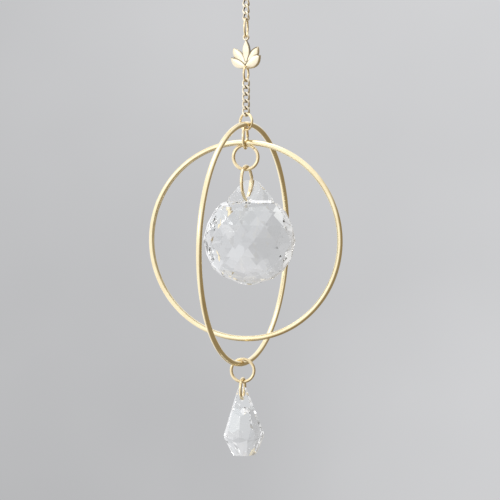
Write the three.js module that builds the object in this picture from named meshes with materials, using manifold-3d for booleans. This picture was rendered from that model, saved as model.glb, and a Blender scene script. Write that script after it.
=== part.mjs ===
// A crystal suncatcher, in millimetres, +Z up.
//
// A fine curb chain hangs from a ring and carries a cast lotus charm and two wire hoops. The smaller
// hoop hangs inside the bigger one, a faceted crystal ball hangs inside both, and a faceted crystal
// drop hangs from the bottom of the bigger hoop. Every piece hangs in the one above it from a wire
// jump ring. The origin is where a hook bears, on the inside of the topmost ring.
//
// A "turn" is a piece's angle about the vertical, in degrees: at 0 a ring lies in the XZ plane.

import * as THREE from "three";
import { ConvexGeometry } from "three/addons/geometries/ConvexGeometry.js";
import { mergeVertices } from "three/addons/utils/BufferGeometryUtils.js";
import Module from "manifold-3d";

const wasm = await Module();
wasm.setup();

// ---------------------------------------------------------------- driving dimensions

const PLAY = 0.06; // air left between two pieces that hang in each other

// Hoops: outer diameter, wire diameter and turn. The bigger one's top leans a little to the right.
const BIG_HOOP = { outer: 80.5, wire: 1.85, turn: 68.7, lean: 1.3 };
const SMALL_HOOP = { outer: 66.3, wire: 1.85, turn: -16.4 };

// Jump rings: outer diameter, wire diameter, turn, and the angle of the cut seen from the front.
const HANGING_RING = { outer: 10, wire: 1, turn: 0, cut: 15 };
const LOTUS_UPPER_RING = { outer: 6.8, wire: 0.75, turn: 80, cut: 30 };
const LOTUS_LOWER_RING = { outer: 5.6, wire: 0.75, turn: 72, cut: 345 };
const CHAIN_END_RING = { outer: 6.15, wire: 0.85, turn: -43, cut: 165 };
const HOOP_RING = { outer: 8.1, wire: 1, turn: 79, cut: 0 };
const BALL_UPPER_RING = { outer: 9.2, wire: 1.1, turn: -6, cut: 45 };
const BALL_RING = { outer: 12.2, wire: 1.05, turn: 72, cut: 15 };
const DROP_UPPER_RING = { outer: 8.5, wire: 1, turn: -4, cut: 150 };
const DROP_RING = { outer: 7.6, wire: 1, turn: 77, cut: 30 };
const CUT_DEGREES = 1.2; // how much of a jump ring its cut takes away

// Curb chain: each link is an oval of wire, twisted a quarter turn from end to end.
const LINK = { wide: 2.6, long: 3.66, wire: 0.66, twist: 90 };
const UPPER_CHAIN = { links: 8, turn: -40 };
const LOWER_CHAIN = { links: 5, turn: 0 };

// How far round its ring the hoop ring sits from the lowest point, with the big hoop beside it, and
// how far the ball and its rings swing out to the right.
const HOOP_RING_OFF = 12;
const BALL_SWING = 2.5;

// Lotus charm: sizes in its own plane, measured up from its lowest edge.
const LOTUS = { turn: -25, eyeHeight: 10.3, eyeOuter: 2.2, eyeHole: 1.2, footHeight: 1, footHole: 1.3 };

// Its petals from back to front: how far each is raised, then the foot, tip and edge curves.
const PETALS = [
  { raised: 0.7, foot: [0, 1], tip: [-4.2, 6.5], outer: [-6.4, 3.4], inner: [-1.3, 6.7] },
  { raised: 0.85, foot: [0, 1.5], tip: [0, 9.6], outer: [2.9, 6], inner: [-2.9, 6] },
  { raised: 1, foot: [0, 1], tip: [4, 6.8], outer: [6, 3.6], inner: [0.1, 7.4] },
  { raised: 1.1, foot: [0, 0.15], tip: [-5.4, 3.9], outer: [-5.4, -0.4], inner: [-1.6, 3.8], top: 1.4 },
  { raised: 1.2, foot: [0, 0.1], tip: [5.1, 4.3], outer: [5.3, -0.4], inner: [1.9, 6.1], top: 1.4 },
];

// Crystal ball: a faceted sphere that runs up to a cone, with a drilled lug. Heights are from its
// centre, latitudes are in degrees, and holeSide is how far off its upright line the hole is drilled.
const BALL = { diameter: 30.3, sides: 12, turn: 64, hole: 1.8, holeHeight: 13.3, holeSide: 1.15, tilt: 4.2 };
const BALL_LATITUDES = [-40, -20, 0, 20, 40];
const BALL_ROWS = {
  foot: { sides: 6, radius: 2, z: -14.5 },
  belly: { sides: 12, radius: 8.7, z: -12.1, halfStep: 1 },
  shoulder: { sides: 12, radius: 8.1, z: 13.5, halfStep: 1 },
  neck: { sides: 6, radius: 4.9, z: 16.9 },
  top: { sides: 6, radius: 2.2, z: 19.7, halfStep: 1 },
};

// Its lug stands on a ledge that falls away to both sides. Both faces of the lug have a ridge up the
// middle: half its depth at the ridge and at an edge that is so far to the side, low down and high up.
const LEDGE = { ridge: 12.4, flat: 0.5, rim: 9.1, reach: 20 };
const LUG_ENDS = {
  low: { z: 10, ridge: 2.7, edge: 1.3, side: 9 },
  high: { z: 21, ridge: 0.4, edge: 0.2, side: 5 },
};

// Crystal drop: eight long facets above a zigzag girdle, a flat bottom, and a tip ground to a wedge.
// Heights are from its bottom.
const DROP = { height: 22.2, width: 13.7, hole: 1.6, holeHeight: 18.55, tipHalfDepth: 1.35, tilt: 2.2 };
const DROP_ROWS = {
  bottom: { sides: 8, radius: 3.9, z: 0, halfStep: 1 },
  underGirdle: { sides: 8, radius: 6.55, z: 5.6, halfStep: 1 },
  girdle: { sides: 8, radius: DROP.width / 2, z: 6.6 },
  neck: { sides: 8, radius: 2.8, z: 18.2 },
  tip: { sides: 8, radius: 1.3, z: DROP.height },
};
const DROP_WEDGE = { out: 8, low: 10, shoulder: 15.5, shoulderHalfDepth: 1.75, topHalfDepth: 0.85 };

// ---------------------------------------------------------------- materials

const gold = new THREE.MeshStandardMaterial({ color: 0xd9b566, metalness: 1, roughness: 0.32 });
const paleGold = new THREE.MeshStandardMaterial({ color: 0xe2cf9f, metalness: 1, roughness: 0.28 });
const crystal = new THREE.MeshStandardMaterial({
  color: 0xf4f7f9,
  roughness: 0.02,
  transparent: true,
  opacity: 0.35,
});

// ---------------------------------------------------------------- shared helpers

const radians = THREE.MathUtils.degToRad;

// Radius of the circle that a ring's wire follows.
const wireRadius = (ring) => (ring.outer - ring.wire) / 2;

// Radius of a ring's opening.
const innerRadius = (ring) => ring.outer / 2 - ring.wire;

const suncatcher = new THREE.Group();

function add(name, geometry, material, { x = 0, y = 0, z = 0, turn = 0 } = {}, parent = suncatcher) {
  const mesh = new THREE.Mesh(geometry, material);
  mesh.name = name;
  mesh.position.set(x, y, z);
  mesh.rotation.z = radians(turn);
  parent.add(mesh);
  return mesh;
}

// A closed three.js geometry as a solid that can be joined and cut.
function solid(geometry) {
  const bare = geometry.index ? geometry.toNonIndexed() : geometry.clone();
  bare.deleteAttribute("normal");
  bare.deleteAttribute("uv");
  const merged = mergeVertices(bare, 1e-4);
  const mesh = new wasm.Mesh({
    numProp: 3,
    vertProperties: merged.attributes.position.array,
    triVerts: new Uint32Array(merged.index.array),
  });
  return new wasm.Manifold(mesh);
}

// A solid back as a three.js geometry.
function geometryOf(made) {
  const mesh = made.getMesh();
  const geometry = new THREE.BufferGeometry();
  geometry.setAttribute("position", new THREE.BufferAttribute(mesh.vertProperties, 3));
  geometry.setIndex(new THREE.BufferAttribute(mesh.triVerts, 1));
  return geometry;
}

// A level ring of points, the corners of a polygon; a half step turns it by half a side.
function polygon({ sides, radius, z, halfStep = 0 }) {
  return Array.from({ length: sides }, (_, k) => {
    const angle = (2 * Math.PI * (k + halfStep / 2)) / sides;
    return new THREE.Vector3(radius * Math.cos(angle), radius * Math.sin(angle), z);
  });
}

// A round drill through a crystal along X, at a height and so far to the side.
function drill(diameter, length, z, side = 0) {
  const bit = new THREE.CylinderGeometry(diameter / 2, diameter / 2, length, 16);
  bit.rotateZ(Math.PI / 2);
  bit.translate(0, side, z);
  return solid(bit);
}

// A prism along Y whose outline is given in X and Z, mirrored about X = 0.
function wedge(half, length) {
  const outline = [...half, ...half.map(([x, z]) => [-x, z]).reverse()];
  const shape = new THREE.Shape(outline.map(([x, z]) => new THREE.Vector2(x, z)));
  const prism = new THREE.ExtrudeGeometry(shape, { depth: length, bevelEnabled: false });
  prism.rotateX(Math.PI / 2);
  prism.translate(0, length / 2, 0);
  return solid(prism);
}

// ---------------------------------------------------------------- rings and hoops

// The line along the middle of a jump ring's wire, from one side of its cut round to the other.
class CutCircle extends THREE.Curve {
  constructor(radius, cut) {
    super();
    this.radius = radius;
    this.start = radians(cut + CUT_DEGREES / 2);
    this.sweep = radians(360 - CUT_DEGREES);
  }
  getPoint(t) {
    const angle = this.start + this.sweep * t;
    return new THREE.Vector3(this.radius * Math.cos(angle), 0, this.radius * Math.sin(angle));
  }
}

// A wire ring that was bent round and closed, with its two cut ends almost touching.
function jumpRing(ring) {
  const section = new THREE.Shape();
  section.absarc(0, 0, ring.wire / 2, 0, 2 * Math.PI);
  return new THREE.ExtrudeGeometry(section, {
    steps: 24,
    curveSegments: 4,
    extrudePath: new CutCircle(wireRadius(ring), ring.cut),
  });
}

// A wire hoop whose ends are brazed together, standing in the XZ plane.
function hoop(ring) {
  const geometry = new THREE.TorusGeometry(wireRadius(ring), ring.wire / 2, 8, 72);
  geometry.rotateX(Math.PI / 2);
  return geometry;
}

// Centre height of a ring whose top wire rests on a lower wire that is at height z.
const hangOn = (z, wireBelow, ring) => z + (wireBelow + ring.wire) / 2 + PLAY - wireRadius(ring);

// Where two wires lie side by side in the bottom of a ring: how far down from the ring's centre, and
// how far to the side. The first lies so many degrees off the lowest point, the second touches it.
function sideBySide(ring, firstWire, secondWire, degreesOff = 0) {
  const first = innerRadius(ring) - firstWire / 2 - PLAY;
  const second = innerRadius(ring) - secondWire / 2 - PLAY;
  const apart = (firstWire + secondWire) / 2 + PLAY;
  const between = Math.acos((first ** 2 + second ** 2 - apart ** 2) / (2 * first * second));
  const off = radians(degreesOff);
  return [
    { down: first * Math.cos(off), side: -first * Math.sin(off) },
    { down: second * Math.cos(between - off), side: second * Math.sin(between - off) },
  ];
}

// A point that lies down from a ring's centre and to its side.
function restIn(ring, centre, { down, side }) {
  const turn = radians(ring.turn);
  return new THREE.Vector3(
    centre.x + side * Math.cos(turn),
    centre.y + side * Math.sin(turn),
    centre.z - down,
  );
}

// ---------------------------------------------------------------- curb chain

// The line along the middle of a link's wire: a round-ended oval, twisted about the vertical.
class TwistedOval extends THREE.Curve {
  getPoint(t) {
    const across = (LINK.wide - LINK.wire) / 2;
    const halfLong = (LINK.long - LINK.wire) / 2;
    const angle = 2 * Math.PI * t;
    const stretch = THREE.MathUtils.clamp(3 * Math.sin(angle), -1, 1);
    const x = across * Math.cos(angle);
    const z = across * Math.sin(angle) + (halfLong - across) * stretch;
    const twist = (-radians(LINK.twist) * z) / (2 * halfLong);
    return new THREE.Vector3(x * Math.cos(twist), x * Math.sin(twist), z);
  }
}

const linkGeometry = () => new THREE.TubeGeometry(new TwistedOval(), 16, LINK.wire / 2, 6, true);

// Hangs a chain on a wire at height z, and gives the height of its last link's lowest wire.
function hangChain(name, chain, z, wireAbove) {
  const halfLong = (LINK.long - LINK.wire) / 2;
  const pitch = 2 * halfLong - LINK.wire - PLAY;
  const first = z + (wireAbove + LINK.wire) / 2 + PLAY - halfLong;
  for (let k = 0; k < chain.links; k++) {
    add(`${name}_link_${k + 1}`, linkGeometry(), paleGold, { z: first - k * pitch, turn: chain.turn });
  }
  return first - (chain.links - 1) * pitch - halfLong;
}

// ---------------------------------------------------------------- lotus charm

// A petal between two curves from its foot to its tip. A petal that hides others starts at a wider foot.
function petal({ raised, foot, tip, outer, inner, top = foot[1] }) {
  const shape = new THREE.Shape();
  shape.moveTo(...foot);
  shape.quadraticCurveTo(...outer, ...tip);
  shape.quadraticCurveTo(...inner, foot[0], top);
  return plate(shape, raised);
}

// A flat casting: its back lies in the plane Y = 0 and its front faces -Y.
function plate(shape, thickness) {
  const bevel = 0.1;
  const geometry = new THREE.ExtrudeGeometry(shape, {
    depth: thickness - 2 * bevel,
    curveSegments: 7,
    bevelThickness: bevel,
    bevelSize: bevel,
    bevelOffset: -bevel,
    bevelSegments: 1,
  });
  geometry.rotateX(Math.PI / 2);
  geometry.translate(0, -bevel, 0);
  return solid(geometry);
}

function disc(diameter, z) {
  const shape = new THREE.Shape();
  shape.absarc(0, z, diameter / 2, 0, 2 * Math.PI);
  return shape;
}

function pin(diameter, z) {
  const geometry = new THREE.CylinderGeometry(diameter / 2, diameter / 2, 6, 14);
  geometry.translate(0, 0, z);
  return solid(geometry);
}

// Five petals that overlap like a lotus seen from the side, with an eye above and a hole in the foot.
function lotusGeometry() {
  let made = plate(disc(LOTUS.eyeOuter, LOTUS.eyeHeight), 0.9);
  for (const each of PETALS) {
    made = made.add(petal(each));
  }
  made = made.add(plate(disc(2.1, LOTUS.footHeight), 0.8));
  made = made.subtract(pin(LOTUS.eyeHole, LOTUS.eyeHeight));
  made = made.subtract(pin(LOTUS.footHole, LOTUS.footHeight));
  const geometry = geometryOf(made);
  geometry.translate(0, 0.5, 0);
  return geometry;
}

// ---------------------------------------------------------------- crystals

// Rows of corners on a sphere, each row turned half a step from the next, make a skin of triangles.
// Above the sphere the rows close in as a cone that ends in a small flat top.
function ballWhole() {
  const radius = BALL.diameter / 2;
  const corners = BALL_LATITUDES.flatMap((latitude, k) =>
    polygon({
      sides: BALL.sides,
      radius: radius * Math.cos(radians(latitude)),
      z: radius * Math.sin(radians(latitude)),
      halfStep: k % 2,
    }),
  );
  return solid(new ConvexGeometry([...corners, ...Object.values(BALL_ROWS).flatMap(polygon)]));
}

// The block that the lug is ground down to: six-sided as seen from above, and thinner at the top.
function lugBlock() {
  const corners = Object.values(LUG_ENDS).flatMap(({ z, ridge, edge, side }) => [
    new THREE.Vector3(ridge, 0, z),
    new THREE.Vector3(-ridge, 0, z),
    new THREE.Vector3(edge, side, z),
    new THREE.Vector3(-edge, side, z),
    new THREE.Vector3(edge, -side, z),
    new THREE.Vector3(-edge, -side, z),
  ]);
  return solid(new ConvexGeometry(corners));
}

function ballGeometry() {
  const whole = ballWhole();
  const underLedge = wedge(
    [
      [LEDGE.reach, -LEDGE.reach],
      [LEDGE.reach, LEDGE.rim],
      [LEDGE.flat, LEDGE.ridge],
    ],
    2 * LEDGE.reach,
  );
  const made = whole.intersect(underLedge).add(whole.intersect(lugBlock()));
  return geometryOf(made.subtract(drill(BALL.hole, BALL.diameter / 2, BALL.holeHeight, BALL.holeSide)));
}

// Half the depth of the lug at the height of its hole.
const lugHalfDepth = THREE.MathUtils.mapLinear(
  BALL.holeHeight,
  LUG_ENDS.low.z,
  LUG_ENDS.high.z,
  LUG_ENDS.low.ridge,
  LUG_ENDS.high.ridge,
);

// Rings of corners from the flat bottom, round the zigzag girdle and up to the tip.
function dropGeometry() {
  const tip = wedge(
    [
      [DROP_WEDGE.out, -1],
      [DROP_WEDGE.out, DROP_WEDGE.low],
      [DROP_WEDGE.shoulderHalfDepth, DROP_WEDGE.shoulder],
      [DROP_WEDGE.topHalfDepth, DROP.height + 1],
    ],
    2 * DROP.width,
  );
  const body = solid(new ConvexGeometry(Object.values(DROP_ROWS).flatMap(polygon))).intersect(tip);
  return geometryOf(body.subtract(drill(DROP.hole, DROP.width, DROP.holeHeight)));
}

// How far above a ring's lowest wire a crystal's hole sits: the ring's wire rises as it curves out to
// the mouths of the hole, the crystal rests on it there, and its tilt lowers one mouth a little.
function holeAboveWire(ring, halfDepth, { hole, tilt }, turn) {
  const rise = wireRadius(ring) - Math.sqrt(wireRadius(ring) ** 2 - halfDepth ** 2);
  const lowered = halfDepth * Math.cos(radians(turn)) * Math.sin(radians(tilt));
  return rise + lowered + ring.wire / 2 + PLAY - hole / 2;
}

// Hangs a crystal by its hole at a height, and tilts it about the hole.
function hangCrystal(name, geometry, { holeHeight, holeSide = 0 }, { z, turn, tilt }, parent) {
  const held = new THREE.Group();
  held.position.z = z;
  held.rotation.y = radians(tilt);
  parent.add(held);
  geometry.translate(0, -holeSide, -holeHeight);
  add(name, geometry, crystal, { turn }, held);
}

// ---------------------------------------------------------------- assembly, from the top down

// The hanging ring: its inside top is the origin.
const hangingZ = -innerRadius(HANGING_RING);
add("hanging_ring", jumpRing(HANGING_RING), gold, { z: hangingZ, turn: HANGING_RING.turn });

// The upper chain, the ring under it, and the lotus whose eye hangs in that ring.
const upperEnd = hangChain(
  "upper_chain",
  UPPER_CHAIN,
  hangingZ - wireRadius(HANGING_RING),
  HANGING_RING.wire,
);
const lotusUpperZ = hangOn(upperEnd, LINK.wire, LOTUS_UPPER_RING);
add("lotus_upper_ring", jumpRing(LOTUS_UPPER_RING), gold, { z: lotusUpperZ, turn: LOTUS_UPPER_RING.turn });

const eyeTop = lotusUpperZ - wireRadius(LOTUS_UPPER_RING) + LOTUS_UPPER_RING.wire / 2 + PLAY;
const lotusZ = eyeTop - LOTUS.eyeHole / 2 - LOTUS.eyeHeight;
add("lotus_charm", lotusGeometry(), gold, { z: lotusZ, turn: LOTUS.turn });

// The ring in the lotus's foot, the lower chain and the ring at its end.
const footRim = lotusZ + LOTUS.footHeight - LOTUS.footHole / 2;
const lotusLowerZ = footRim + LOTUS_LOWER_RING.wire / 2 + PLAY - wireRadius(LOTUS_LOWER_RING);
add("lotus_lower_ring", jumpRing(LOTUS_LOWER_RING), gold, { z: lotusLowerZ, turn: LOTUS_LOWER_RING.turn });

const lowerEnd = hangChain(
  "lower_chain",
  LOWER_CHAIN,
  lotusLowerZ - wireRadius(LOTUS_LOWER_RING),
  LOTUS_LOWER_RING.wire,
);
const chainEndZ = hangOn(lowerEnd, LINK.wire, CHAIN_END_RING);
add("chain_end_ring", jumpRing(CHAIN_END_RING), gold, { z: chainEndZ, turn: CHAIN_END_RING.turn });

// The hoop ring and the big hoop lie side by side in the bottom of the chain's end ring.
const chainEnd = new THREE.Vector3(0, 0, chainEndZ);
const inChainEnd = sideBySide(CHAIN_END_RING, HOOP_RING.wire, BIG_HOOP.wire, HOOP_RING_OFF);

const hoopRing = restIn(CHAIN_END_RING, chainEnd, inChainEnd[0]);
hoopRing.z -= wireRadius(HOOP_RING);
add("hoop_ring", jumpRing(HOOP_RING), gold, { ...hoopRing, turn: HOOP_RING.turn });

const bigHang = new THREE.Group();
bigHang.position.copy(restIn(CHAIN_END_RING, chainEnd, inChainEnd[1]));
bigHang.rotation.y = radians(BIG_HOOP.lean);
suncatcher.add(bigHang);
add("big_hoop", hoop(BIG_HOOP), gold, { z: -wireRadius(BIG_HOOP), turn: BIG_HOOP.turn }, bigHang);

// The small hoop lies in the bottom of the hoop ring, beside the ring that carries the ball.
const inHoopRing = sideBySide(HOOP_RING, BALL_UPPER_RING.wire, SMALL_HOOP.wire);
const smallTop = restIn(HOOP_RING, hoopRing, { down: inHoopRing[1].down, side: -inHoopRing[1].side });
add("small_hoop", hoop(SMALL_HOOP), gold, {
  x: smallTop.x,
  y: smallTop.y,
  z: smallTop.z - wireRadius(SMALL_HOOP),
  turn: SMALL_HOOP.turn,
});

// The ball and its two rings swing as one about the bottom of the hoop ring.
const ballHang = new THREE.Group();
ballHang.position.set(hoopRing.x, hoopRing.y, hoopRing.z - wireRadius(HOOP_RING));
ballHang.rotation.y = -radians(BALL_SWING);
suncatcher.add(ballHang);

const ballUpperZ = hangOn(0, HOOP_RING.wire, BALL_UPPER_RING);
const ballUpperPlace = { z: ballUpperZ, turn: BALL_UPPER_RING.turn };
add("ball_upper_ring", jumpRing(BALL_UPPER_RING), gold, ballUpperPlace, ballHang);

const ballRingZ = hangOn(ballUpperZ - wireRadius(BALL_UPPER_RING), BALL_UPPER_RING.wire, BALL_RING);
add("ball_ring", jumpRing(BALL_RING), gold, { z: ballRingZ, turn: BALL_RING.turn }, ballHang);

const ballHoleZ = ballRingZ - wireRadius(BALL_RING) + holeAboveWire(BALL_RING, lugHalfDepth, BALL, BALL.turn);
const ballPlace = { z: ballHoleZ, turn: BALL.turn, tilt: BALL.tilt };
hangCrystal("crystal_ball", ballGeometry(), BALL, ballPlace, ballHang);

// The drop and its two rings hang from the lowest point of the leaning big hoop.
const lean = radians(BIG_HOOP.lean);
const dropHang = new THREE.Group();
dropHang.position.set(
  bigHang.position.x - 2 * wireRadius(BIG_HOOP) * Math.sin(lean),
  bigHang.position.y,
  bigHang.position.z - 2 * wireRadius(BIG_HOOP) * Math.cos(lean),
);
suncatcher.add(dropHang);

const dropUpperZ = hangOn(0, BIG_HOOP.wire, DROP_UPPER_RING);
const dropUpperPlace = { z: dropUpperZ, turn: DROP_UPPER_RING.turn };
add("drop_upper_ring", jumpRing(DROP_UPPER_RING), gold, dropUpperPlace, dropHang);

const dropRingZ = hangOn(dropUpperZ - wireRadius(DROP_UPPER_RING), DROP_UPPER_RING.wire, DROP_RING);
add("drop_ring", jumpRing(DROP_RING), gold, { z: dropRingZ, turn: DROP_RING.turn }, dropHang);

const dropTurn = DROP_RING.turn;
const dropAbove = holeAboveWire(DROP_RING, DROP.tipHalfDepth, DROP, dropTurn);
const dropHoleZ = dropRingZ - wireRadius(DROP_RING) + dropAbove;
const dropPlace = { z: dropHoleZ, turn: dropTurn, tilt: -DROP.tilt };
hangCrystal("crystal_drop", dropGeometry(), DROP, dropPlace, dropHang);

export default suncatcher;
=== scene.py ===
from math import cos, pi, radians, sin

import bmesh
import bpy
import numpy as np
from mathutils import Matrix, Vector


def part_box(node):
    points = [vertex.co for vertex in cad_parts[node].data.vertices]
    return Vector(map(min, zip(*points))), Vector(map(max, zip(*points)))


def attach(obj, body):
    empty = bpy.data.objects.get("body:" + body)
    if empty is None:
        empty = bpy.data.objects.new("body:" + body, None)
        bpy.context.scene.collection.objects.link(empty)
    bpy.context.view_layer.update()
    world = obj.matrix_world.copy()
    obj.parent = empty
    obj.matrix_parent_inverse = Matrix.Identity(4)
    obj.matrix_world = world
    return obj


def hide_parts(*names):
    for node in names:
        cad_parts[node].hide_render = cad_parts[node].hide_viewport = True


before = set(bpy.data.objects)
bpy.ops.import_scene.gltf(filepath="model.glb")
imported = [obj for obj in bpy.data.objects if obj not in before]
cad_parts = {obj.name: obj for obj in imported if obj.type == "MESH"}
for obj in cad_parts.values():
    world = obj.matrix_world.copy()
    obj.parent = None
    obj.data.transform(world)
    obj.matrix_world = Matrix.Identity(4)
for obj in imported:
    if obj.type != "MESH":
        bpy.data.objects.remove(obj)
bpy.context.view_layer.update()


# ---------------------------------------------------------------- jump rings
# Nine open rings of round brass wire, plated a pale gold, from the ring that a hook holds down to the
# one in the drop's tip. Each was wound on a rod, sawn through, opened sideways and pressed shut again,
# so its two flat ends meet with a hair of space between them and a little out of line.

RING_CUTS = {
    "hanging_ring": 15,
    "lotus_upper_ring": 30,
    "lotus_lower_ring": 345,
    "chain_end_ring": 165,
    "hoop_ring": 0,
    "ball_upper_ring": 45,
    "ball_ring": 15,
    "drop_upper_ring": 150,
    "drop_ring": 30,
}
RING_CUT_WIDTH = 1.2  # degrees of the ring
RING_STEP = 0.00003  # how far the two ends stand out of line
RING_STEPS = 96  # points along the wire
RING_GOLD = (0.84, 0.71, 0.46)
RING_WORN = (0.64, 0.48, 0.26)


def lie_of(node):
    """How a ring-shaped CAD node lies: its centre, the direction across it, the direction up it, the
    direction through it, the radius of its wire's middle line and the wire's own radius. The direction
    through it is the one in which its points spread least, and up is the part of +Z square to that."""
    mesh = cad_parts[node].data
    points = np.empty(len(mesh.vertices) * 3)
    mesh.vertices.foreach_get("co", points)
    points = points.reshape(-1, 3)
    through = np.linalg.svd(points - points.mean(0), full_matrices=False)[2][2]
    through = through * (1 if through[1] > 0 else -1)
    up = np.array([0.0, 0.0, 1.0])
    up = up - through * (up @ through)
    up = up / np.linalg.norm(up)
    across = np.cross(up, -through)
    axes = np.array([across, up, through])
    reach = points @ axes.T
    low, high = reach.min(0), reach.max(0)
    wire = (high[2] - low[2]) / 2
    return {
        "centre": ((low + high) / 2) @ axes,
        "across": across,
        "up": up,
        "through": through,
        "wire": wire,
        "radius": (high[1] - low[1]) / 2 - wire,
    }


def wire_along(path, tangent, side, thick, turns=16):
    """A round wire carried along a path. At each point of the path a circle stands square to the
    tangent: its radius times the cosine along the side direction and the sine along side x tangent."""
    tangent = tangent / np.linalg.norm(tangent, axis=1, keepdims=True)
    side = side - tangent * (side * tangent).sum(1, keepdims=True)
    side = side / np.linalg.norm(side, axis=1, keepdims=True)
    other = np.cross(side, tangent)
    v = np.linspace(0, 2 * pi, turns, endpoint=False)
    thick = np.broadcast_to(np.asarray(thick), (len(path),))[:, None, None]
    circle = side[:, None] * np.cos(v)[None, :, None] + other[:, None] * np.sin(v)[None, :, None]
    return path[:, None] + thick * circle


def skin(name, grid, closed, stretch=(1.0, 1.0)):
    """A mesh over a grid of points whose columns always go round. Its rows go round too if closed, and
    otherwise each end is shut by a fan. The UV map runs from 0 to stretch, in millimetres."""
    rows, columns = grid.shape[:2]
    steps = rows if closed else rows - 1
    i, j = np.meshgrid(np.arange(steps), np.arange(columns), indexing="ij")
    i, j = i.ravel(), j.ravel()
    corners = [(i, j), (i + 1, j), (i + 1, j + 1), (i, j + 1)]
    quads = np.stack([(a % rows) * columns + b % columns for a, b in corners], 1)
    uv = np.stack([np.stack([a / steps * stretch[0], b / columns * stretch[1]], 1) for a, b in corners], 1)
    points = grid.reshape(-1, 3)
    fans = np.empty((0, 3), int)
    if not closed:
        ends = np.array([grid[0].mean(0), grid[-1].mean(0)])
        k = np.arange(columns)
        first = np.stack([k, (k + 1) % columns, np.full(columns, len(points))], 1)
        last = (rows - 1) * columns + np.stack([(k + 1) % columns, k], 1)
        last = np.column_stack([last, np.full(columns, len(points) + 1)])
        fans = np.vstack([first, last])
        points = np.vstack([points, ends])
    a, b, c, d = (points[quads[:, n]] for n in range(4))
    volume = (np.cross(b - a, c - a) * a).sum() + (np.cross(c - a, d - a) * a).sum()
    if volume < 0:
        quads, uv, fans = quads[:, ::-1], uv[:, ::-1], fans[:, ::-1]
    mesh = bpy.data.meshes.new(name)
    mesh.from_pydata(points, [], quads.tolist() + fans.tolist())
    flat_uv = np.vstack([uv.reshape(-1, 2), np.zeros((len(fans) * 3, 2))])
    mesh.uv_layers.new(name="along").data.foreach_set("uv", flat_uv.ravel())
    mesh.polygons.foreach_set("use_smooth", [True] * len(quads) + [False] * len(fans))
    return mesh


def show(name, mesh, material, slot, *nodes):
    """Puts a finished mesh into the scene in place of its CAD nodes."""
    piece = bpy.data.objects.new(name, mesh)
    bpy.context.scene.collection.objects.link(piece)
    mesh.materials.clear()
    mesh.materials.append(material)
    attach(piece, "root")
    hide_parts(*nodes)
    return piece


class Field:
    """One value of a shader. Writing + - * or / on it adds that Math node, and node() adds any
    other: its type, its settings, which are set first, and then the values or links of its sockets."""

    def __init__(self, tree, made=None, out=0):
        self.tree = tree
        self.made = made
        self.socket = made.outputs[out] if made and made.outputs else None

    def node(self, kind, settings=None, sockets=None, out=0):
        made = self.tree.nodes.new(kind)
        for key, value in (settings or {}).items():
            setattr(made, key, value)
        for key, value in (sockets or {}).items():
            if isinstance(value, Field):
                self.tree.links.new(value.socket, made.inputs[key])
            else:
                made.inputs[key].default_value = value
        return Field(self.tree, made, out)

    def _math(self, operation, first, second):
        return self.node("ShaderNodeMath", {"operation": operation}, {0: first, 1: second})

    def __add__(self, other):
        return self._math("ADD", self, other)

    def __sub__(self, other):
        return self._math("SUBTRACT", self, other)

    def __mul__(self, other):
        return self._math("MULTIPLY", self, other)

    def __truediv__(self, other):
        return self._math("DIVIDE", self, other)

    def __rsub__(self, other):
        return self._math("SUBTRACT", other, self)

    __radd__ = __add__
    __rmul__ = __mul__

    def above(self, low, high):
        """0 under low and 1 over high, and a smooth step between them."""
        return self.node(
            "ShaderNodeMapRange",
            {"interpolation_type": "SMOOTHSTEP"},
            {"Value": self, "From Min": low, "From Max": high},
        )

    def mix(self, first, second):
        """The first colour where this value is 0 and the second where it is 1."""
        return self.node(
            "ShaderNodeMix",
            {"data_type": "RGBA"},
            {"Factor": self, 6: (*first, 1) if isinstance(first, tuple) else first, 7: (*second, 1)},
            out=2,
        )

    def noise(self, place, scale, detail=2.0, rough=0.5):
        return self.node(
            "ShaderNodeTexNoise", None, {"Vector": place, "Scale": scale, "Detail": detail, "Roughness": rough}
        )

    def bump(self, distance, strength):
        """A normal that rises with this value by a distance in metres."""
        return self.node("ShaderNodeBump", None, {"Height": self, "Distance": distance, "Strength": strength})


def new_material(name):
    """A material with an empty tree, and the field that its nodes are added from."""
    material = bpy.data.materials.new(name)
    material.use_nodes = True
    material.node_tree.nodes.clear()
    return material, Field(material.node_tree)


def plated_gold(name, clean, worn, rough, lines=1.0, wear=0.35, painted_shade_girth=0):
    """Pale gold plating on brass. Fine lines run along the wire from drawing it, the sheen clouds where
    fingers have been, and small pits and specks catch the light. Where the girth of a link's wire is
    given, its inner side is painted dark: painted shade where the next link lies."""
    material, start = new_material(name)
    along = start.node("ShaderNodeUVMap", {"uv_map": "along"})
    drawn = along.node("ShaderNodeMapping", {"vector_type": "POINT"}, {"Vector": along, "Scale": (0.5, 11, 1)})
    place = start.node("ShaderNodeTexCoord", None, None, out="Object")
    scratches = drawn.noise(drawn, 1.6, 4.0, 0.65)
    clouds = place.noise(place, 160.0, 3.0, 0.55)
    specks = place.noise(place, 2600.0, 1.0, 0.5).above(0.68, 0.78)
    colour = (clouds.above(0.42, 0.72) * wear).mix(clean, worn)
    colour = (specks * 0.35).mix(colour, worn)
    # Painted shade: the inner side of a link's wire is painted dark.
    if painted_shade_girth:
        turn = start.node("ShaderNodeSeparateXYZ", None, {"Vector": along}, out="Y") / painted_shade_girth - 0.5
        colour = (1 - (turn * turn).above(0.01, 0.05)).mix(colour, tuple(c * 0.3 for c in worn))
    roughness = rough + 0.12 * (scratches - 0.5) * lines + 0.1 * clouds.above(0.45, 0.75) + 0.12 * specks
    height = 0.6 * scratches * lines + 0.4 * place.noise(place, 700.0, 2.0, 0.5) - 0.5 * specks
    shader = start.node(
        "ShaderNodeBsdfPrincipled",
        None,
        {
            "Base Color": colour,
            "Metallic": 1.0,
            "Roughness": roughness,
            "Normal": height.bump(0.000012, 0.6),
        },
    )
    start.node("ShaderNodeOutputMaterial", None, {"Surface": shader})
    return material


ring_gold = plated_gold("ring_gold", RING_GOLD, RING_WORN, 0.2)

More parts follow.
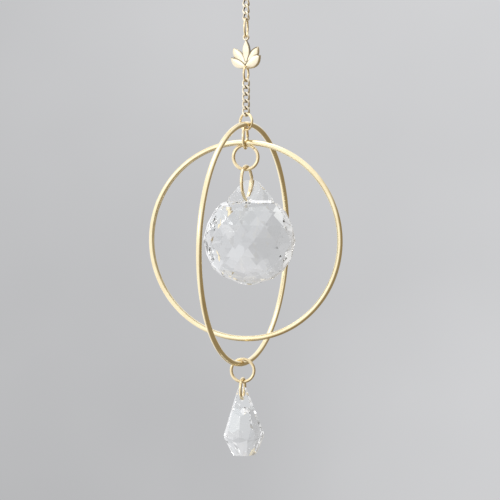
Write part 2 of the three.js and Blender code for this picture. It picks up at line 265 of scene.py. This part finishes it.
for ring, cut in RING_CUTS.items():
    # The wire's middle line: centre + radius (cos across + sin up), all but the cut, while the ends
    # step sideways by a share that grows with the cube of the distance from the ring's far side.
    lie = lie_of(ring)
    half_cut = radians(RING_CUT_WIDTH) / 2
    angle = np.linspace(half_cut, 2 * pi - half_cut, RING_STEPS) + radians(cut)
    share = np.linspace(-1, 1, RING_STEPS)[:, None] ** 3
    spoke = np.cos(angle)[:, None] * lie["across"] + np.sin(angle)[:, None] * lie["up"]
    run = np.cos(angle)[:, None] * lie["up"] - np.sin(angle)[:, None] * lie["across"]
    path = lie["centre"] + lie["radius"] * spoke + RING_STEP * share * lie["through"]
    length = 2 * pi * lie["radius"] * 1000
    girth = 2 * pi * lie["wire"] * 1000
    grid = wire_along(path, run, spoke, lie["wire"])
    show(ring + "_wire", skin(ring, grid, False, (length, girth)), ring_gold, "ring_wire", ring)


# ---------------------------------------------------------------- curb chain
# Fine curb chain of soldered oval links, each twisted a quarter turn so that the chain lies flat, then
# rolled so that the outer faces of its wire are slightly flat. It is plated paler than the rings.

LINK_WIDE, LINK_LONG, LINK_WIRE = 0.0026, 0.00366, 0.00066
LINK_GIRTH = 2.1  # mm round the wire
LINK_ROUND = 9.0  # mm along it
LINK_TWIST = 90  # degrees from one end to the other
LINK_FLAT = 0.00062  # half the thickness left by the rollers
LINK_STEP = 0.004  # the share of the way round over which its direction is measured
CHAIN_GOLD = (0.85, 0.77, 0.6)
CHAIN_WORN = (0.6, 0.49, 0.32)
CHAINS = {"upper_chain": (8, -40), "lower_chain": (5, 0)}  # how many links, and their turn in degrees

# The chain's links get painted shade on the inner side of their wire.
chain_gold = plated_gold("chain_gold", CHAIN_GOLD, CHAIN_WORN, 0.2, 0.6, painted_shade_girth=LINK_GIRTH)


def link_path(t):
    """A round-ended oval in the XZ plane, its ends half circles and its sides straight between them,
    then turned about Z in proportion to its height."""
    across = (LINK_WIDE - LINK_WIRE) / 2
    half = (LINK_LONG - LINK_WIRE) / 2
    stretch = np.clip(3 * np.sin(2 * pi * t), -1, 1)
    x = across * np.cos(2 * pi * t)
    z = across * np.sin(2 * pi * t) + (half - across) * stretch
    twist = -radians(LINK_TWIST) * z / (2 * half)
    return np.stack([x * np.cos(twist), x * np.sin(twist), z], 1)


for chain, (count, turn) in CHAINS.items():
    for k in range(count):
        node = f"{chain}_link_{k + 1}"
        low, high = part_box(node)
        t = np.arange(64) / 64
        path = link_path(t)
        run = link_path(t + LINK_STEP) - link_path(t - LINK_STEP)
        grid = wire_along(path, run, path * (1, 1, 0.4), LINK_WIRE / 2, 14)
        # The rollers press each point's distance from the middle plane towards LINK_FLAT, as tanh does.
        off = np.abs(grid[..., 1])
        grid[..., 1] = np.sign(grid[..., 1]) * np.minimum(off, LINK_FLAT * np.tanh(off / LINK_FLAT * 2.2))
        a = radians(turn)
        turned = grid @ np.array([[cos(a), sin(a), 0], [-sin(a), cos(a), 0], [0, 0, 1]])
        middle = (np.array(low) + np.array(high)) / 2
        mesh = skin(node, turned + middle, True, (LINK_ROUND, LINK_GIRTH))
        show(node + "_wire", mesh, chain_gold, "chain_wire", node)


# ---------------------------------------------------------------- wire hoops
# Two large hoops of round brass wire, each bent round and brazed end to end, the seam filed smooth and
# plated over. They hang one through the other, and keep the slight shine of handled plating.

HOOPS = {"big_hoop": 22, "small_hoop": 158}  # where the brazed seam is, in degrees round the hoop
SEAM_SWELL = 0.00006
SEAM_LONG = 0.0009  # how far to either side of the seam the swelling falls off
HOOP_SHY = 0.000032  # the plating is worn this much smaller than the outline of the solid
HOOP_GOLD = (0.87, 0.76, 0.5)
HOOP_WORN = (0.66, 0.5, 0.27)

hoop_gold = plated_gold("hoop_gold", HOOP_GOLD, HOOP_WORN, 0.17, wear=0.3)

for hoop, seam in HOOPS.items():
    # The wire's middle line is a circle: centre + radius (cos across + sin up). At the seam the wire
    # swells by a bell curve, exp of minus the distance squared: what the file left of the braze.
    lie = lie_of(hoop)
    angle = np.linspace(0, 2 * pi, 360, endpoint=False)
    spoke = np.cos(angle)[:, None] * lie["across"] + np.sin(angle)[:, None] * lie["up"]
    run = np.cos(angle)[:, None] * lie["up"] - np.sin(angle)[:, None] * lie["across"]
    off = (angle - radians(seam) + pi) % (2 * pi) - pi
    swell = np.exp(-((off * lie["radius"] / SEAM_LONG) ** 2))
    thick = lie["wire"] - HOOP_SHY + (SEAM_SWELL - HOOP_SHY) * swell
    grid = wire_along(lie["centre"] + (lie["radius"] - HOOP_SHY) * spoke, run, spoke, thick, 20)
    length = 2 * pi * lie["radius"] * 1000
    mesh = skin(hoop, grid, True, (round(length), 2 * pi * lie["wire"] * 1000))
    show(hoop + "_wire", mesh, hoop_gold, "hoop_wire", hoop)


# ---------------------------------------------------------------- lotus charm
# A flat charm cast in brass and plated: five petals of a lotus seen from the side, each domed and
# overlapping the one behind, with an eye above them and a drilled foot below for its rings.

LOTUS_TURN = -25  # degrees
LOTUS_GOLD = (0.83, 0.745, 0.57)
LOTUS_WORN = (0.72, 0.6, 0.4)
LOTUS_BACK = 0.0005  # the flat back stands this far behind the hanging line
EYE = {"height": 10.3, "outer": 1.1, "hole": 0.6, "thick": 0.9}
FOOT = {"height": 1.0, "outer": 1.15, "hole": 0.65, "thick": 0.85}
# Each petal: how far it stands out, where it starts, its tip, the bends of its two sides, how far up its
# inner side starts, and how dark the painted shade of its crease is along its outer and its inner side.
# The sizes are in mm.
PETALS = [
    (0.6, (0, 1.5), (0, 9.6), (2.8, 6), (-2.8, 6), 1.5, (0.9, 0.1)),
    (0.8, (0, 1), (-4.6, 6.9), (-5.9, 3.2), (-0.7, 6.3), 1.6, (0.1, 0.6)),
    (1, (0, 1), (4.3, 7.2), (5.8, 3.6), (0.6, 6.7), 1.2, (0.2, 1.5)),
    (1.1, (0, 0.15), (-5.4, 3.9), (-5.4, -0.4), (-1.6, 3.8), 1.4, (0.1, 1.0)),
    (1.2, (0, 0.1), (5.1, 4.3), (5.3, -0.4), (1.9, 6.1), 1.4, (0.3, 1.5)),
]
CREASE_SHADE_WIDTH = 0.9  # mm, how wide the painted shade along a crease is
EYE_DARK = 0.25  # how dark the two eyelets are, all over


def bow(start, control, end, t):
    """A quadratic curve: start (1 - t)^2 + 2 control t (1 - t) + end t^2."""
    start, control, end = (np.array(p, float) for p in (start, control, end))
    return start * (1 - t) ** 2 + 2 * control * t * (1 - t) + end * t**2


def petal_skin(raised, foot, tip, outer, inner, top, crease_shades):
    """A closed petal, in millimetres, and how much painted shade it has at each point. Across it, a slice at
    each u from foot to tip runs from the outer curve to the inner one, and its front rises over the flat
    back as sin^0.35 of a half turn, nearly flat. The painted shade falls off with the distance from either
    side."""
    u = (0.5 - 0.5 * np.cos(np.linspace(0, pi, 40)))[:, None]
    u = 0.004 + 0.992 * u
    left = bow(foot, outer, tip, u)
    right = bow((foot[0], top), inner, tip, u)
    turn = np.linspace(0, 2 * pi, 64, endpoint=False)
    side = np.cos(turn)
    depth = 0.8 * np.maximum(np.sin(turn), 0) ** 0.35 + 0.2 * np.maximum(np.sin(turn), 0)
    across = (left[:, None] + right[:, None]) / 2 + (right - left)[:, None] / 2 * side[None, :, None]
    width = np.linalg.norm(right - left, axis=1)
    rise = np.minimum(1, width / 1.1) ** 0.5
    y = -raised * (0.35 + 0.65 * rise[:, None]) * depth[None, :]
    near = np.clip(1 - (1 - np.abs(side))[None, :] * width[:, None] / 2 / CREASE_SHADE_WIDTH, 0, 1)
    painted_shade = near * np.where(side > 0, crease_shades[1], crease_shades[0])[None, :]
    return np.stack([across[..., 0], y, across[..., 1]], 2), painted_shade


def eyelet_skin(height, outer, hole, thick):
    """A ring with a rounded front about a hole, in millimetres: round it turns an oval section whose
    back lies in the plane of the charm's back."""
    turn = np.linspace(0, 2 * pi, 48, endpoint=False)[:, None]
    v = np.linspace(0, 2 * pi, 16, endpoint=False)[None, :]
    middle, half = (outer + hole) / 2, (outer - hole) / 2
    r = middle + half * np.sign(np.cos(v)) * np.abs(np.cos(v)) ** 0.7
    y = -thick / 2 * (1 + np.sign(np.sin(v)) * np.abs(np.sin(v)) ** 0.7)
    return np.stack([r * np.cos(turn), y + 0 * turn, height + r * np.sin(turn)], 2)


def joined(name, meshes):
    """One mesh out of several."""
    points, faces, base = [], [], 0
    for part in meshes:
        co = np.empty(len(part.vertices) * 3)
        part.vertices.foreach_get("co", co)
        points.append(co.reshape(-1, 3))
        faces += [[base + v for v in face.vertices] for face in part.polygons]
        base += len(part.vertices)
        bpy.data.meshes.remove(part)
    mesh = bpy.data.meshes.new(name)
    mesh.from_pydata(np.vstack(points), [], faces)
    mesh.polygons.foreach_set("use_smooth", [True] * len(faces))
    return mesh


def cast_gold(name, clean, worn):
    """Pale plating over a sand-cast skin: a satin grain, softly clouded, and painted shade in the creases."""
    material, start = new_material(name)
    place = start.node("ShaderNodeTexCoord", None, None, out="Object")
    grain = place.noise(place, 2100.0, 3.0, 0.6)
    clouds = place.noise(place, 420.0, 2.0, 0.5)
    crease_shade = start.node("ShaderNodeAttribute", {"attribute_name": "crease_shade"}, out="Fac")
    colour = (clouds.above(0.45, 0.7) * 0.35).mix(clean, worn)
    # Painted shade: dark along the creases between the petals.
    colour = (crease_shade * (0.7 + 0.6 * grain)).above(0.25, 0.7).mix(colour, tuple(c * 0.3 for c in worn))
    roughness = 0.24 + 0.14 * clouds.above(0.4, 0.7) + 0.1 * grain
    height = (0.7 * grain + 0.5 * clouds).bump(0.00003, 0.7)
    sockets = {"Base Color": colour, "Metallic": 1.0, "Roughness": roughness, "Normal": height}
    shader = start.node("ShaderNodeBsdfPrincipled", None, sockets)
    start.node("ShaderNodeOutputMaterial", None, {"Surface": shader})
    return material


low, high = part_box("lotus_charm")
leaves = [petal_skin(*petal) for petal in PETALS]
shells = [skin("petal", leaf, False) for leaf, painted_shade in leaves]
shells += [skin("eyelet", eyelet_skin(**ring), True) for ring in (EYE, FOOT)]
# How much painted shade each point carries: the petals' creases, and EYE_DARK on the eyelets.
crease_shade = [np.append(painted_shade.ravel(), [0, 0]) for leaf, painted_shade in leaves]
crease_shade += [np.full(len(shell.vertices), EYE_DARK) for shell in shells[len(PETALS):]]
lotus = joined("lotus", shells)
lotus.attributes.new("crease_shade", "FLOAT", "POINT").data.foreach_set("value", np.concatenate(crease_shade))
co = np.empty(len(lotus.vertices) * 3)
lotus.vertices.foreach_get("co", co)
co = co.reshape(-1, 3) / 1000
co[:, 1] += LOTUS_BACK
a = radians(LOTUS_TURN)
co = co @ np.array([[cos(a), sin(a), 0], [-sin(a), cos(a), 0], [0, 0, 1]])
co[:, 2] += high[2] - (EYE["height"] + EYE["outer"]) / 1000
lotus.vertices.foreach_set("co", co.ravel())
lotus_gold = cast_gold("lotus_gold", LOTUS_GOLD, LOTUS_WORN)
show("lotus_charm_cast", lotus, lotus_gold, "cast_lotus", "lotus_charm")


# ---------------------------------------------------------------- cut crystals
# A ball and a drop pressed and ground from clear crystal glass, each with flat facets all over and a thin
# lug at the top with a drilled hole. The edges between facets are a hair's breadth wide and rounded.

EDGE = 0.00005  # metres, the width of a ground edge
EDGE_ANGLE = 4  # degrees between two facets, above which there is such an edge


def crystal_of(node):
    """A copy of a CAD crystal with its doubled corners merged and its flat faces made whole."""
    made = bmesh.new()
    made.from_mesh(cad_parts[node].data)
    bmesh.ops.remove_doubles(made, verts=made.verts, dist=1e-7)
    edges, corners = list(made.edges), list(made.verts)
    bmesh.ops.dissolve_limit(made, angle_limit=radians(0.6), verts=corners, edges=edges)
    mesh = bpy.data.meshes.new(node)
    made.to_mesh(mesh)
    made.free()
    return mesh


def cut_glass(name):
    """Clear crystal glass, polished, with the faint unevenness of a hand-held grind on its faces."""
    material, start = new_material(name)
    place = start.node("ShaderNodeTexCoord", None, None, out="Object")
    grind = place.noise(place, 300.0, 2.0, 0.5)
    roughness = 0.004 + 0.02 * place.noise(place, 900.0, 3.0, 0.6).above(0.6, 0.8)
    shader = start.node(
        "ShaderNodeBsdfPrincipled",
        None,
        {
            "Base Color": (0.985, 0.99, 1.0, 1),
            "Roughness": roughness,
            "IOR": 1.54,
            "Transmission Weight": 1.0,
            "Normal": grind.bump(0.000004, 0.13),
        },
    )
    start.node("ShaderNodeOutputMaterial", None, {"Surface": shader})
    return material


crystal_glass = cut_glass("crystal_glass")
for crystal in ("crystal_ball", "crystal_drop"):
    piece = show(crystal + "_cut", crystal_of(crystal), crystal_glass, "clear_crystal", crystal)
    edge = piece.modifiers.new("edge", "BEVEL")
    edge.width = EDGE
    edge.segments = 1
    edge.limit_method = "ANGLE"
    edge.angle_limit = radians(EDGE_ANGLE)


# ---------------------------------------------------------------- room, floor, lamps and camera
# The suncatcher hangs in front of a pale gray sheet, over a pale floor. Two soft lamps light it, from
# the left and from above. Two glowing shells round the room, which the camera doesn't see, are what the
# metal reflects and what is seen through the glass. The one seen through the glass has painted light
# and painted shade on it.

WALL = 0.578  # how pale the gray wall behind is, in the direction +Y
WALL_TURNS = (0.33, 0.0, 0.3)  # how much paler it grows towards +X and +Z, each for a step of 1
CORNER = (0.124, 0.979, -0.16)  # the way to its lower right, where it is paler again
CORNER_PALER = 0.06
world = bpy.data.worlds.new("room")
bpy.context.scene.world = world
world.use_nodes = True
world.node_tree.nodes.clear()
sky = Field(world.node_tree)
toward = sky.node("ShaderNodeTexCoord", None, None, out="Generated")
slope = sky.node("ShaderNodeVectorMath", {"operation": "DOT_PRODUCT"}, {0: toward, 1: WALL_TURNS}, out="Value")
drift = sky.node("ShaderNodeClamp", None, {"Value": slope, "Min": -0.08, "Max": 0.06})
mottle = toward.noise(toward, 5.0, 3.0, 0.55)
corner = sky.node("ShaderNodeVectorMath", {"operation": "DOT_PRODUCT"}, {0: toward, 1: CORNER}, out="Value")
pale = WALL + drift + 0.12 * (mottle - 0.5) + CORNER_PALER * corner.above(0.991, 0.9995)
tinted = sky.node("ShaderNodeVectorMath", {"operation": "SCALE"}, {0: (0.995, 1.0, 1.02), "Scale": pale})
glow = sky.node("ShaderNodeBackground", None, {"Color": tinted, "Strength": 1.0})
sky.node("ShaderNodeOutputWorld", None, {"Surface": glow})

FLOOR_HALF = 2.2
FLOOR_DEPTH = 0.62
floor_mesh = bpy.data.meshes.new("floor")
corners = [(-1, -1), (1, -1), (1, 1), (-1, 1)]
floor_mesh.from_pydata([(x * FLOOR_HALF, y * FLOOR_HALF, -FLOOR_DEPTH) for x, y in corners], [], [(0, 1, 2, 3)])
floor = bpy.data.objects.new("floor", floor_mesh)
bpy.context.scene.collection.objects.link(floor)
paint, start = new_material("floor_paint")
place = start.node("ShaderNodeTexCoord", None, None, out="Object")
tone = place.noise(place, 5.0, 2.0, 0.5).mix((0.64, 0.64, 0.65), (0.7, 0.7, 0.705))
matt = start.node("ShaderNodeBsdfPrincipled", None, {"Base Color": tone, "Roughness": 0.9})
start.node("ShaderNodeOutputMaterial", None, {"Surface": matt})
floor_mesh.materials.append(paint)
floor.visible_glossy = floor.visible_transmission = False

# The metal reflects a shell that is light at the upper left and dark at the lower right.
MIDDLE = Vector((0, 0, -0.09))  # of the suncatcher
SHELL = 2.3  # the radius of both shells
LIGHT_FROM = (-0.9, 0.0, 0.8)
METAL_DARK, METAL_LIGHT = (0.33, 0.27, 0.18), (1.24, 1.24, 1.26)
METAL_CLOUDS = 0.3


def ray(round_, up):
    """The direction so many degrees round from +Y towards +X and so many up."""
    round_, up = radians(round_), radians(up)
    return Vector((sin(round_) * cos(up), cos(round_) * cos(up), sin(up)))


def shell_of(name):
    """A closed ball about the suncatcher, whose points are sin and cos of the angle from the top times
    those of the angle round. With it come its empty shader tree, and two fields: the way from the middle
    to each of its points, and that way's direction."""
    u, v = np.meshgrid(np.linspace(0, 2 * pi, 48, endpoint=False), np.linspace(0.02, pi - 0.02, 24))
    dome = np.stack([np.sin(v) * np.cos(u), np.sin(v) * np.sin(u), np.cos(v)], 2)
    shell = bpy.data.objects.new(name, skin(name, SHELL * dome + np.array(MIDDLE), False))
    bpy.context.scene.collection.objects.link(shell)
    paint, start = new_material(name)
    shell.data.materials.append(paint)
    shell.visible_camera = False
    place = start.node("ShaderNodeTexCoord", None, None, out="Object")
    around = start.node("ShaderNodeVectorMath", {"operation": "SUBTRACT"}, {0: place, 1: tuple(MIDDLE)})
    return shell, start, around, start.node("ShaderNodeVectorMath", {"operation": "NORMALIZE"}, {0: around})


def agreement(start, facing, way):
    """How far a direction goes along another: their dot product."""
    pair = {0: facing, 1: tuple(way)}
    return start.node("ShaderNodeVectorMath", {"operation": "DOT_PRODUCT"}, pair, out="Value")


def lit(start, colour, strength):
    """Fills an empty tree with a plain glow."""
    shine = start.node("ShaderNodeEmission", None, {"Color": colour, "Strength": strength})
    start.node("ShaderNodeOutputMaterial", None, {"Surface": shine})


metal_room, start, around, facing = shell_of("metal_room")
metal_room.visible_transmission = False
light = agreement(start, facing, LIGHT_FROM).above(-0.62, 0.2)
lit(start, light.mix(METAL_DARK, METAL_LIGHT), 1.0 + METAL_CLOUDS * (around.noise(around, 2.0, 2.0, 0.5) - 0.5))

# Through the glass is seen a shell in the gray of the sheet, in patches a little paler and darker, and
# with soft panels of painted light and painted shade on it, which the metal doesn't see.
# Each panel: how far round from straight behind towards +X and how far up its middle is seen, how far
# from there it starts and ends to fade, all in degrees, and its colour.
PATCHES = 0.1  # how much paler or darker a patch is at most
PAINTED_PANELS = [
    (180, 10, 20, 60, (1.0, 1.0, 1.0)),  # painted light, for a room in front
    (180, -60, 25, 65, (0.58, 0.6, 0.61)),  # painted light, for that room's floor
    (-110, 12, 28, 50, (0.92, 0.92, 0.9)),  # painted light, for a pale wall on the left
    (-128, 20, 13, 17, (4.5, 4.5, 4.4)),  # painted light, for the lamp on the left
    (-90, 75, 14, 18, (2.5, 2.5, 2.5)),  # painted light, for the lamp above
    (95, 5, 22, 35, (0.3, 0.28, 0.24)),  # painted shade on the right
    (0, 33, 7, 14, (0.67, 0.67, 0.68)),  # painted light at the top of the sheet
    (0, -32, 12, 22, (0.61, 0.62, 0.625)),  # painted light under it
    (45, -30, 14, 19, (0.69, 0.71, 0.72)),  # painted light on either side
    (-52, -24, 9, 14, (0.93, 0.94, 0.93)),
    (65, 7, 5, 7, (0.05, 0.05, 0.045)),  # painted shade in a narrow band on either side, for the edges of the glass
    (-28.5, 6.5, 4.5, 5.5, (0.06, 0.065, 0.06)),
]
painted_room_for_glass, start, around, facing = shell_of("painted_room_for_glass")
painted_room_for_glass.visible_glossy = painted_room_for_glass.visible_diffuse = False
slope = agreement(start, facing, WALL_TURNS)
spread = start.node("ShaderNodeClamp", None, {"Value": slope, "Min": -0.02, "Max": 0.06})
GLASS_TINT = (0.99, 1.0, 1.015)
colour = start.node("ShaderNodeVectorMath", {"operation": "SCALE"}, {0: GLASS_TINT, "Scale": WALL + spread})
# The panels paint light and shade into the shell, by direction.
for round_, up, near, far, tint in PAINTED_PANELS:
    share = agreement(start, facing, ray(round_, up)).above(cos(radians(far)), cos(radians(near)))
    colour = share.mix(colour, tint)
cell = start.node("ShaderNodeTexVoronoi", None, {"Vector": around, "Scale": 1.9}, out="Color")
part = start.node("ShaderNodeSeparateColor", None, {"Color": cell}, out=0)
lit(start, colour, 1 + 2 * PATCHES * (part - 0.5))

# Each lamp: its direction as above, how far off it is, its width and height, its colour and strength.
LAMPS = {
    "window": (-128, 19, 1.0, 0.95, 0.34, (1.0, 0.99, 0.97), 2.4),
    "skylight": (-90, 80, 1.5, 1.0, 1.0, (0.96, 0.98, 1.0), 3.0),
}
for name, (round_, up, off, wide, high, tint, strength) in LAMPS.items():
    # A flat card that faces the suncatcher and lights it. The camera itself doesn't see it.
    aim = ray(round_, up)
    turn = (-aim).to_track_quat("-Z", "Y")
    sides = [(-wide / 2, -high / 2), (wide / 2, -high / 2), (wide / 2, high / 2), (-wide / 2, high / 2)]
    mesh = bpy.data.meshes.new(name)
    mesh.from_pydata([MIDDLE + aim * off + turn @ Vector((x, y, 0)) for x, y in sides], [], [(0, 1, 2, 3)])
    glowing, start = new_material(name)
    lit(start, (*tint, 1), strength)
    mesh.materials.append(glowing)
    board = bpy.data.objects.new(name, mesh)
    bpy.context.scene.collection.objects.link(board)
    board.visible_camera = board.visible_transmission = False

lens = bpy.data.cameras.new("camera")
lens.lens, lens.sensor_width = 142.56, 36
lens.clip_start, lens.clip_end = 0.01, 20
camera = bpy.data.objects.new("camera", lens)
camera.location = (0.0013, -0.65, -0.079)
camera.rotation_euler = (radians(88), 0, 0)
bpy.context.scene.collection.objects.link(camera)
bpy.context.scene.camera = camera
bpy.context.scene.view_settings.view_transform = "Standard"
bpy.context.scene.cycles.transmission_bounces = 32
bpy.context.scene.cycles.glossy_bounces = 16
bpy.context.scene.cycles.max_bounces = 40
